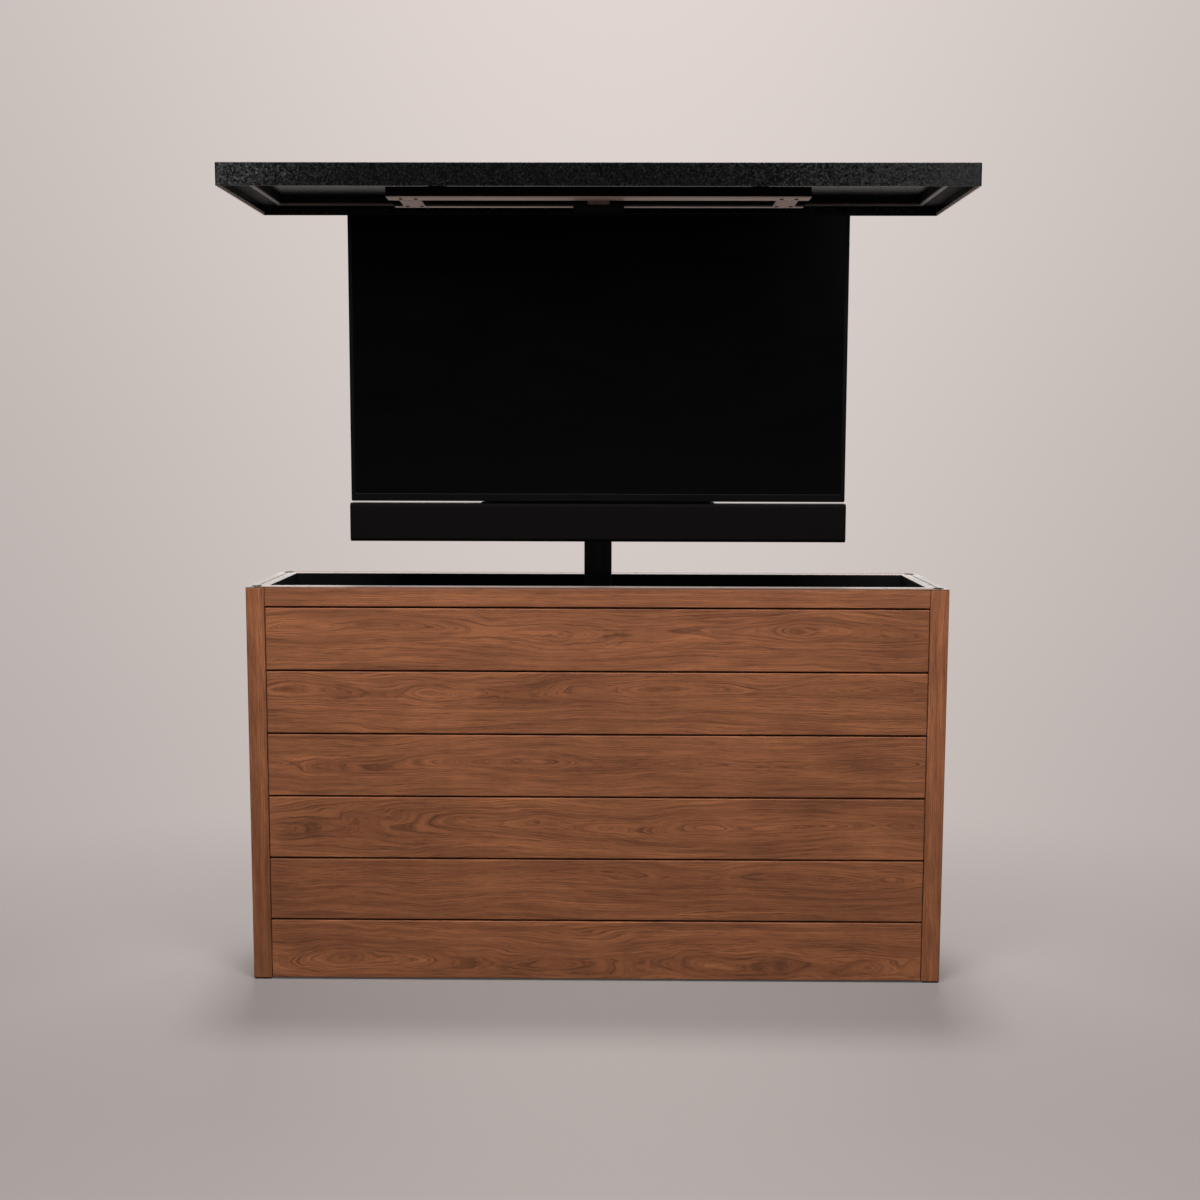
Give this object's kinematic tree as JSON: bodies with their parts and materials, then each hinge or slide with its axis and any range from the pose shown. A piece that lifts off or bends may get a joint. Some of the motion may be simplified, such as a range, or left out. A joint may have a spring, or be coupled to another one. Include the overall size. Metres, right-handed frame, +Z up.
{
  "type": "tv lift cabinet",
  "caption": "Wood-clad outdoor cabinet whose lid, flat screen and soundbar rise together on a telescopic electric column.",
  "frame": {"origin": "on the floor, at the centre of the cabinet's footprint", "axes": "+Z up, +X to the right seen from the front, the screen faces -Y"},
  "size_m": [1.78, 0.5, 1.976],
  "materials": {
    "wood_cladding": "oiled, horizontal grain on boards and upright grain on posts",
    "galvanised_tube": "galvanised",
    "black_sheet": "matt black laminate",
    "light_flange": "satin pale powder coat",
    "black_plastic": "moulded, fine texture",
    "rubber_black": "matt",
    "black_painted_sheet": "fine-texture black powder coat",
    "black_steel": "black powder coat",
    "black_anodised": "black anodised",
    "pale_glide_plastic": "natural acetal",
    "cast_housing": "die cast, matt",
    "motor_case": "satin black",
    "bright_screw_steel": "rolled thread, oiled",
    "screen_plastic": "satin black moulding",
    "screen_glass": "glossy, screen off",
    "grille_cloth": "fine acoustic cloth",
    "speckled_black_coat": "speckled coarse-texture black coat",
    "grey_seal": "soft grey silicone seal",
    "grey_lining": "matt dark grey panel"
  },
  "bodies": {
    "cabinet": {"corner_post_front_left": "wood_cladding", "corner_post_front_right": "wood_cladding", "corner_post_rear_left": "wood_cladding", "corner_post_rear_right": "wood_cladding", "front_board_1": "wood_cladding", "front_board_2": "wood_cladding", "front_board_3": "wood_cladding", "front_board_4": "wood_cladding", "front_board_5": "wood_cladding", "front_board_6": "wood_cladding", "left_boards": "wood_cladding", "right_boards": "wood_cladding", "rear_boards": "wood_cladding", "top_rail_front": "wood_cladding", "top_rail_rear": "wood_cladding", "top_rail_left": "wood_cladding", "top_rail_right": "wood_cladding", "frame_rails": "galvanised_tube", "frame_studs": "black_painted_sheet", "floor_panel": "black_sheet", "liner_front": "black_sheet", "liner_rear": "black_sheet", "side_liners": "black_sheet", "top_flange": "light_flange", "post_plugs": "black_plastic", "foot_glides": "rubber_black", "service_panel": "black_painted_sheet", "cable_grommet": "rubber_black", "control_box": "black_plastic", "lift_base_plate": "black_steel", "outer_column": "black_anodised", "outer_glides": "pale_glide_plastic", "drive_gearbox": "cast_housing", "drive_motor": "motor_case"},
    "lower_screw": {"lower_spindle": "bright_screw_steel"},
    "column_middle": {"middle_column": "black_anodised", "middle_glides": "pale_glide_plastic", "middle_foot_plate": "black_plastic"},
    "upper_screw": {"upper_spindle": "bright_screw_steel"},
    "carriage": {"inner_column": "black_anodised", "inner_glides": "pale_glide_plastic", "inner_foot_plate": "black_plastic", "column_head": "black_steel", "mount_spine": "black_steel", "mount_rails": "black_steel", "screen_hooks": "black_steel", "screen_bezel": "screen_plastic", "screen_glass": "screen_glass", "screen_display": "screen_plastic", "screen_back_cover": "screen_plastic", "soundbar_housing": "black_plastic", "soundbar_grille": "grille_cloth", "soundbar_bracket": "black_steel", "lid_shell": "speckled_black_coat", "lid_frame": "black_anodised", "lid_gasket": "grey_seal", "lid_lining": "grey_lining", "lid_carrier": "black_anodised", "lid_isolators": "rubber_black"}
  },
  "joints": [
    {"name": "stage_1_slide", "type": "slide", "parent": "cabinet", "child": "column_middle", "axis": [0, 0, 1], "range_m": [-0.48, 0]},
    {"name": "stage_2_slide", "type": "slide", "parent": "column_middle", "child": "carriage", "axis": [0, 0, 1], "range_m": [-0.48, 0]},
    {"name": "lower_spindle_turn", "type": "hinge", "parent": "cabinet", "child": "lower_screw", "pos_m": [0, 0.062, 0.1], "axis": [0, 0, 1], "range_deg": [-0.5, 10800.5]},
    {"name": "upper_spindle_turn", "type": "hinge", "parent": "column_middle", "child": "upper_screw", "pos_m": [0, 0.062, 0.63], "axis": [0, 0, 1], "range_deg": [-0.5, 10800.5]}
  ],
  "couplings": [
    {"joint": "stage_2_slide", "follows": "stage_1_slide", "ratio": 1},
    {"joint": "lower_spindle_turn", "follows": "stage_1_slide", "rad_per_m": -392.7},
    {"joint": "upper_spindle_turn", "follows": "stage_1_slide", "rad_per_m": -392.7}
  ]
}
